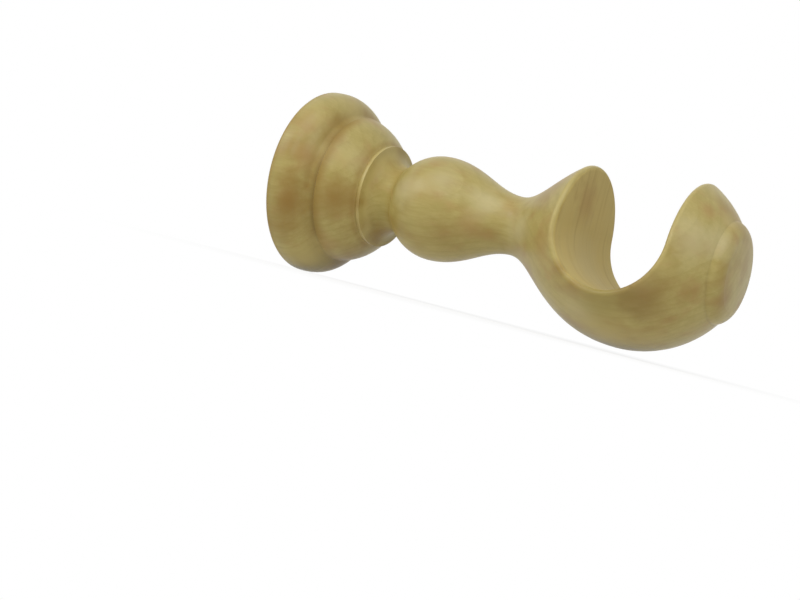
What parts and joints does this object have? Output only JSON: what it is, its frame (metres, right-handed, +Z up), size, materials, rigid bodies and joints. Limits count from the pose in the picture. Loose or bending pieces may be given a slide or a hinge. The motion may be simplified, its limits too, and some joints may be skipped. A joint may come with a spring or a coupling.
{
  "type": "curtain pole bracket",
  "caption": "Turned wooden wall bracket with a stepped base, a bulb and neck, and an open round seat that holds a curtain pole.",
  "frame": {"origin": "centre of the flat back face, which goes against the wall, at the mouth of the screw hole", "axes": "+X along the arm, from the wall outwards; +Z up, the way the pole seat opens; Y along the pole"},
  "size_m": [0.1301, 0.053, 0.0532],
  "materials": {
    "wood": "satin clear lacquer on pale natural wood"
  },
  "bodies": {
    "root": {"bracket": "wood"}
  },
  "joints": []
}
